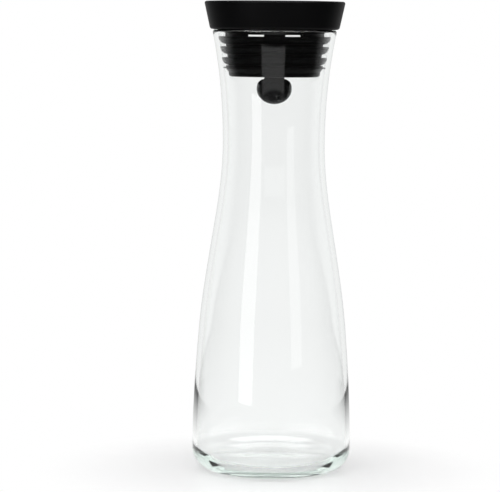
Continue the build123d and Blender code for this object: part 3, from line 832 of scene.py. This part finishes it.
def sleeve_outline(edge):
    """Closed half section of the sleeve, from the thin lip at its foot up over its fins."""
    low_r = sleeve_radius(SLEEVE_Z)
    top_r = sleeve_radius(SLEEVE_TOP_Z)
    lip_r = inside_glass(SLEEVE_Z, FIN_GLASS_GAP)
    lip_z = SLEEVE_Z + LIP_T
    cuff_r = low_r + CUFF_STEP
    cuff_z = SLEEVE_Z + CUFF_H
    corners = [
        (low_r - SLEEVE_T, SLEEVE_Z, 0.0),
        (lip_r, SLEEVE_Z, LIP_EDGE_SHARE * edge),
        (lip_r, lip_z, LIP_EDGE_SHARE * edge),
        (cuff_r, lip_z, 0.0),
        (cuff_r, cuff_z, edge),
        (sleeve_radius(cuff_z), cuff_z, 0.0),
    ]
    for tip_z in FIN_TIPS_Z:
        corners += fin_corners(tip_z, edge)
    corners += [(top_r, SLEEVE_TOP_Z, 0.0), (top_r - SLEEVE_T, SLEEVE_TOP_Z, 0.0)]
    return rounded(corners)


def ring_outline(edge):
    """Closed half section of the ring at the end of the stopper."""
    floor_z = RING_Z + RING_FLOOR_T
    core_r = sleeve_radius(floor_z) - SLEEVE_T
    waist_r = sleeve_radius(SLEEVE_Z)
    return rounded([
        (core_r - CORE_WALL, RING_Z, edge),
        (waist_r, RING_Z, RING_EDGE_R),
        (waist_r, RING_Z + RING_WAIST_H, 0.0),
        (waist_r + CUFF_STEP, SLEEVE_Z, edge),
        (waist_r - SLEEVE_T, SLEEVE_Z, 0.0),
        (core_r, floor_z, 0.0),
        (core_r - CORE_WALL, floor_z, 0.0),
    ], steps=8)


class CARAFE_OT_stopper(bpy.types.Operator):
    """Turn the finned sleeve of the stopper and the ring at its end"""

    bl_idname = "carafe.stopper"
    bl_label = "Stopper sleeve and end ring"

    def execute(self, context):
        edge = min(context.scene.carafe_lid.edge, FIN_EDGE_LIMIT)
        sleeve = turn("finned_sleeve", sleeve_outline(edge), finish_for("silicone"))
        settle(sleeve, "lid", "silicone", "stopper_sleeve")
        end_ring = turn("stopper_end_ring", ring_outline(edge), finish_for("moulded_black"))
        settle(end_ring, "lid", "moulded_black", "core_retainer")
        return {"FINISHED"}


def flap_outline(edge):
    """Half section of the flap's cover, from its crown over the rim to its underside."""
    flap_r = ball_radius(FLAP_BALL_R, FLAP_TOP_Z)
    crown_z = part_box("flap_disc")[1].z
    across = arc_through((-flap_r, FLAP_TOP_Z), (0.0, crown_z), (flap_r, FLAP_TOP_Z), CROWN_STEPS)
    crown = across[CROWN_STEPS // 2:]
    crown[0] = (0.0, crown_z)
    rim = ball_arc(FLAP_BALL_R, FLAP_TOP_Z, FLAP_DISC_Z)
    corners = [*plain(crown[:-1]), (*rim[0], edge), *plain(rim[2:])]
    return rounded(corners) + [(0.0, FLAP_DISC_Z)]


def seal_outline():
    """Closed half section of the flap's seal."""
    low, high = (corner.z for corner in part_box("flap_gasket"))
    hub_r = ball_radius(FLAP_BALL_R, FLAP_TOP_Z) - FLAP_SEAL_W
    return [(hub_r, high), (hub_r, low), *ball_arc(FLAP_BALL_R + FLAP_SEAL_PROUD, low, high)]


class CARAFE_OT_flap(bpy.types.Operator):
    """Turn the crowned cover of the flap and its seal"""

    bl_idname = "carafe.flap"
    bl_label = "Flap cover and seal"

    def execute(self, context):
        edge = context.scene.carafe_lid.edge
        disc = turn("flap_cover", flap_outline(edge), finish_for("soft_black"))
        settle(disc, "flap", "soft_black", "flap_disc")
        gasket = turn("flap_seal", seal_outline(), finish_for("silicone"))
        settle(gasket, "flap", "silicone", "flap_gasket")
        return {"FINISHED"}


def screw_outline(length):
    """Half section of a small screw, its head on the XY plane and a thread down its shank."""
    line = [(0.0, -length), (SCREW_POINT * SCREW_SHANK_R, -length)]
    z = SCREW_PITCH - length
    while z < -SCREW_PITCH:
        line += [(SCREW_SHANK_R, z), (SCREW_THREAD_ROOT * SCREW_SHANK_R, z + SCREW_PITCH / 2)]
        z += SCREW_PITCH
    drive_z = SCREW_HEAD_H - DRIVE_DEPTH
    corners = [
        (SCREW_SHANK_R, -SCREW_NECK_H, 0.0),
        (SCREW_SHANK_R, 0.0, 0.0),
        (SCREW_HEAD_R, 0.0, 0.0),
        (SCREW_HEAD_R, SCREW_HEAD_H, SCREW_HEAD_EDGE_R),
        (DRIVE_R, SCREW_HEAD_H, 0.0),
        (DRIVE_R, drive_z, 0.0),
    ]
    return line + rounded(corners) + [(0.0, drive_z)]


def loose_solids(node):
    """Lists of the vertex places of each separate solid of a node."""
    form = bmesh.new()
    form.from_mesh(frame["nodes"][node].data)
    bmesh.ops.remove_doubles(form, verts=form.verts, dist=1e-6)
    left = set(form.verts)
    solids = []
    while left:
        group = []
        border = [left.pop()]
        while border:
            vert = border.pop()
            group.append(vert.co.copy())
            for link in vert.link_edges:
                other = link.other_vert(vert)
                if other in left:
                    left.remove(other)
                    border.append(other)
        solids.append(group)
    form.free()
    return solids


def screw_places(node, length, turn_x):
    """Where the heads of a node's screws sit, from the middles of its solids."""
    axis = Vector((0.0, -math.sin(turn_x), math.cos(turn_x)))
    places = []
    for group in loose_solids(node):
        low, high = (Vector([pick(co[i] for co in group) for i in range(3)]) for pick in (min, max))
        places.append(tuple((low + high) / 2 + axis * (length - SCREW_HEAD_H) / 2))
    return sorted(places)


class CARAFE_OT_screws(bpy.types.Operator):
    """Set the small screws of the lid, the flap, the arm and the weight"""

    bl_idname = "carafe.screws"
    bl_label = "Screws"

    def execute(self, context):
        turned = tree_named("turned_outline", turned_tree)
        tree = tree_named("turned_piece_at_places", placed_tree, turned)
        for name, node, body, length, turn_x in SCREW_SETS:
            outline = guide(name + "_outline", [(r, 0.0, z) for r, z in screw_outline(length)])
            spots = guide(name + "_places", screw_places(node, length, turn_x), joined=False)
            screws = smooth(mesh_from(name, tree, {
                "Outline": outline,
                "Places": spots,
                "Facing": (turn_x, 0.0, 0.0),
                "Segments": SCREW_SEGMENTS,
                "Drive Radius": DRIVE_R,
                "Finish": finish_for("screw_steel"),
            }))
            bpy.data.objects.remove(outline)
            bpy.data.objects.remove(spots)
            settle(screws, body, "steel", node)
        return {"FINISHED"}


KEPT_NODES = {
    "collar_carrier": "moulded_black",
    "rim_gasket": "silicone",
    "stopper_core": "moulded_black",
    "hinge_bushes": "bush_plastic",
    "hinge_pin": "pin_steel",
    "flap_base": "moulded_black",
    "pendulum_arm": "gloss_black",
    "weight_shell_front": "gloss_black",
    "weight_shell_rear": "gloss_black",
    "weight_slug": "pin_steel",
}


class CARAFE_OT_kept(bpy.types.Operator):
    """Give the moulded and turned pieces that stay as they are their finishes"""

    bl_idname = "carafe.kept"
    bl_label = "Carrier, core, hinge, arm and weight"

    def execute(self, context):
        for node, finish in KEPT_NODES.items():
            for holder in frame["nodes"][node].material_slots:
                holder.material = finish_for(finish)
        return {"FINISHED"}


# Stage


def dark_sectors(tree, place):
    """Slightly darker sectors round the axis, which the curved glass bends into its edge lines."""
    around = calc(tree, "ARCTAN2", place["X"], place["Y"])
    wave = calc(tree, "COSINE", calc(tree, "MULTIPLY", around, SECTORS))
    return ramp(tree, wave, *SECTOR_WAVE, SECTOR_GLOW, 1.0)


def floor_finish(settings):
    """Pale floor with a soft reflection that fades to white away from the carafe; through the glass its
    glow has painted darker sectors, and in gloss it fades to a painted dark reflection far out.
    """
    finish, tree, shader = finish_named("pale_floor", Specular_IOR_Level=0.5)
    cloud = pattern(tree, 5.0, detail=2.0)
    colour = tuple(settings.floor_colour)
    darker = tuple(0.985 * c for c in colour)
    tree.links.new(shaded(tree, cloud, darker, colour), shader.inputs["Base Color"])
    tree.links.new(between(tree, cloud, 0.16, 0.22), shader.inputs["Roughness"])

    rays = put(tree, "ShaderNodeLightPath").outputs
    own = put(tree, "ShaderNodeTexCoord").outputs["Object"]
    place = put(tree, "ShaderNodeSeparateXYZ", {0: own}).outputs
    reach = put(tree, "ShaderNodeVectorMath", {0: own}, operation="LENGTH").outputs["Value"]
    # Seen through the glass, the floor's glow away from the carafe has painted darker sectors
    far = ramp(tree, reach, *PAINTED_SECTOR_RING, 0.0, 1.0, "SMOOTHSTEP")
    through = calc(tree, "MULTIPLY", far, rays["Is Transmission Ray"])
    seen = blend_values(tree, through, 1.0, dark_sectors(tree, place))
    # Seen in gloss, the floor's glow fades to a painted dark reflection far from the carafe
    mirrored = calc(tree, "MINIMUM", rays["Glossy Depth"], 1.0)
    painted_mirror_glow = ramp(tree, reach, *PAINTED_MIRROR_RING, 1.0, PAINTED_MIRROR_FAR_GLOW)
    glow = blend_values(tree, mirrored, seen, painted_mirror_glow)
    white = put(tree, "ShaderNodeEmission", {"Color": (1.0, 1.0, 1.0, 1.0), "Strength": glow})
    fade = ramp(tree, reach, *SHADE_RING, SHADE_LEAST_GLOW, 1.0, "SMOOTHSTEP")
    mix = put(tree, "ShaderNodeMixShader", {0: fade, 1: shader.outputs[0], 2: white.outputs[0]})
    link_output(tree, "Surface", mix.outputs[0])
    lay_out(tree)
    return finish


def rim_strip(tree, towards):
    """Bright band high in front, which draws the pale line of the glass rim."""
    low_edge = ramp(tree, towards["Z"], *STRIP_LOW_Z, 0.0, 1.0)
    high_edge = ramp(tree, towards["Z"], *STRIP_HIGH_Z, 1.0, 0.0)
    in_front = ramp(tree, towards["Y"], *STRIP_Y, STRIP_GLOW, 0.0)
    return calc(tree, "MULTIPLY", calc(tree, "MULTIPLY", low_edge, high_edge), in_front)


def arm_sheet(tree, towards):
    """Grey sheet low in front, which the neck of the glass mirrors over the arm."""
    front = calc(tree, "MULTIPLY", towards["Y"], -1.0)
    fall = calc(tree, "DIVIDE", calc(tree, "MULTIPLY", towards["Z"], -1.0), front)
    side = calc(tree, "DIVIDE", towards["X"], front)
    sheet = ramp(tree, fall, *SHEET_FALL, 0.0, SHEET_GLOW)
    for value, limits, start, end in (
        (towards["Z"], SHEET_LOW_Z, 0.0, 1.0),
        (towards["Z"], SHEET_HIGH_Z, 1.0, 0.0),
        (side, SHEET_LEFT, 0.0, 1.0),
        (side, SHEET_RIGHT, 1.0, 0.0),
    ):
        sheet = calc(tree, "MULTIPLY", sheet, ramp(tree, value, *limits, start, end))
    return sheet


def set_world(settings):
    """White round what is seen, even light on what is lit, and darker parts that draw the glass."""
    world = bpy.data.worlds.new("studio")
    bpy.context.scene.world = world
    world.use_nodes = True
    tree = world.node_tree
    tree.nodes.clear()
    rays = put(tree, "ShaderNodeLightPath").outputs
    sky = put(tree, "ShaderNodeTexCoord").outputs["Generated"]
    towards = put(tree, "ShaderNodeSeparateXYZ", {0: sky}).outputs

    # Through the glass: straight through it, or after a reflection inside it
    reflected = calc(tree, "MINIMUM", rays["Glossy Depth"], 1.0)
    after = ramp(tree, towards["Y"], *INSIDE_Y, INSIDE_FRONT_GLOW, 1.0)
    through = blend_values(tree, reflected, dark_sectors(tree, towards), after)
    through = calc(tree, "MULTIPLY", rays["Is Transmission Ray"], through)

    # Mirrored by glass and gloss: bright behind the carafe and dark in front, but for two patches
    behind = ramp(tree, towards["Y"], *BEHIND_Y, FRONT_GLOW, BEHIND_GLOW)
    patches = calc(tree, "ADD", rim_strip(tree, towards), arm_sheet(tree, towards))
    mirrored = calc(tree, "MULTIPLY", rays["Is Glossy Ray"], calc(tree, "ADD", behind, patches))

    seen = calc(tree, "MAXIMUM", rays["Is Camera Ray"], calc(tree, "MAXIMUM", through, mirrored))
    lit = calc(tree, "MAXIMUM", rays["Is Diffuse Ray"], rays["Is Shadow Ray"])
    strength = calc(tree, "ADD", seen, calc(tree, "MULTIPLY", lit, settings.ambient))
    light = put(tree, "ShaderNodeBackground", {"Color": (1.0, 1.0, 1.0, 1.0), "Strength": strength})
    put(tree, "ShaderNodeOutputWorld", {"Surface": light.outputs[0]})
    lay_out(tree)


def softbox(name, place, aim, width, height, radiance):
    """Soft lamp of a given brightness that shows in gloss but not to the camera."""
    lamp = bpy.data.lights.new(name, "AREA")
    lamp.shape = "RECTANGLE"
    lamp.size = width
    lamp.size_y = height
    lamp.energy = radiance * math.pi * width * height
    box = bpy.data.objects.new(name, lamp)
    box.location = place
    box.rotation_euler = (Vector(aim) - Vector(place)).to_track_quat("-Z", "Y").to_euler()
    box.visible_camera = False
    box.visible_transmission = False
    bpy.context.scene.collection.objects.link(box)


def lay_floor(settings):
    """Round floor that is stage and not part of the carafe."""
    mesh = bpy.data.meshes.new("floor")
    turns = [math.tau * i / FLOOR_SIDES for i in range(FLOOR_SIDES)]
    corners = [(FLOOR_R * math.cos(t), FLOOR_R * math.sin(t), FLOOR_Z) for t in turns]
    mesh.from_pydata(corners, [], [range(FLOOR_SIDES)])
    floor = bpy.data.objects.new("floor", mesh)
    mesh.materials.append(floor_finish(settings))
    bpy.context.scene.collection.objects.link(floor)


def set_camera(settings):
    """Camera at the photograph's height, distance and turn."""
    camera = bpy.data.objects.new("camera", bpy.data.cameras.new("camera"))
    camera.data.lens = settings.lens
    camera.data.clip_start = CAMERA_NEAR
    camera.data.clip_end = CAMERA_FAR
    camera.location = CAMERA_PLACE
    roll = Matrix.Rotation(math.radians(settings.roll), 3, "Z")
    view = (CAMERA_AIM - CAMERA_PLACE).to_track_quat("-Z", "Y").to_matrix() @ roll
    camera.rotation_euler = view.to_euler()
    bpy.context.scene.collection.objects.link(camera)
    bpy.context.scene.camera = camera


class CARAFE_OT_stage(bpy.types.Operator):
    """Set the floor, the surroundings, the lamps and the camera"""

    bl_idname = "carafe.stage"
    bl_label = "Stage"

    def execute(self, context):
        scene = context.scene
        settings = scene.carafe_stage
        lay_floor(settings)
        set_world(settings)
        for name, degrees, distance, z, aim_z, width, height, radiance in SOFTBOXES:
            turn_by = math.radians(degrees)
            place = (distance * math.sin(turn_by), -distance * math.cos(turn_by), z)
            softbox(name, place, (0.0, 0.0, aim_z), width, height, radiance * settings.lamps)
        set_camera(settings)
        scene.view_settings.view_transform = "Standard"
        scene.cycles.max_bounces = LIGHT_BOUNCES
        scene.cycles.glossy_bounces = GLOSSY_BOUNCES
        scene.cycles.transmission_bounces = LIGHT_BOUNCES
        return {"FINISHED"}


class CARAFE_PT_sidebar(bpy.types.Panel):
    """Lists the steps that build the carafe."""

    bl_label = "Carafe"
    bl_space_type = "VIEW_3D"
    bl_region_type = "UI"
    bl_category = "Carafe"

    def draw(self, context):
        layout = self.layout
        scene = context.scene
        groups = (
            ("Glass", scene.carafe_glass, (CARAFE_OT_glass,)),
            ("Lid", scene.carafe_lid, (
                CARAFE_OT_collar, CARAFE_OT_stopper, CARAFE_OT_flap, CARAFE_OT_screws, CARAFE_OT_kept,
            )),
            ("Stage", scene.carafe_stage, (CARAFE_OT_stage,)),
        )
        for label, settings, steps in groups:
            box = layout.box()
            box.label(text=label)
            for key in settings.bl_rna.properties.keys():
                if key not in ("rna_type", "name"):
                    box.prop(settings, key)
            for step in steps:
                box.operator(step.bl_idname)


STEPS = (
    CARAFE_OT_glass,
    CARAFE_OT_collar,
    CARAFE_OT_stopper,
    CARAFE_OT_flap,
    CARAFE_OT_screws,
    CARAFE_OT_kept,
    CARAFE_OT_stage,
)
SETTINGS = (
    ("carafe_glass", CarafeGlassSettings),
    ("carafe_lid", CarafeLidSettings),
    ("carafe_stage", CarafeStageSettings),
)


def register():
    for name, kind in SETTINGS:
        bpy.utils.register_class(kind)
        setattr(bpy.types.Scene, name, PointerProperty(type=kind))
    for kind in (*STEPS, CARAFE_PT_sidebar):
        bpy.utils.register_class(kind)


def unregister():
    for kind in reversed((*STEPS, CARAFE_PT_sidebar)):
        bpy.utils.unregister_class(kind)
    for name, kind in reversed(SETTINGS):
        delattr(bpy.types.Scene, name)
        bpy.utils.unregister_class(kind)


def main():
    """Build the whole carafe."""
    register()
    for step in STEPS:
        space, name = step.bl_idname.split(".")
        getattr(getattr(bpy.ops, space), name)()


if __name__ == "__main__":
    main()
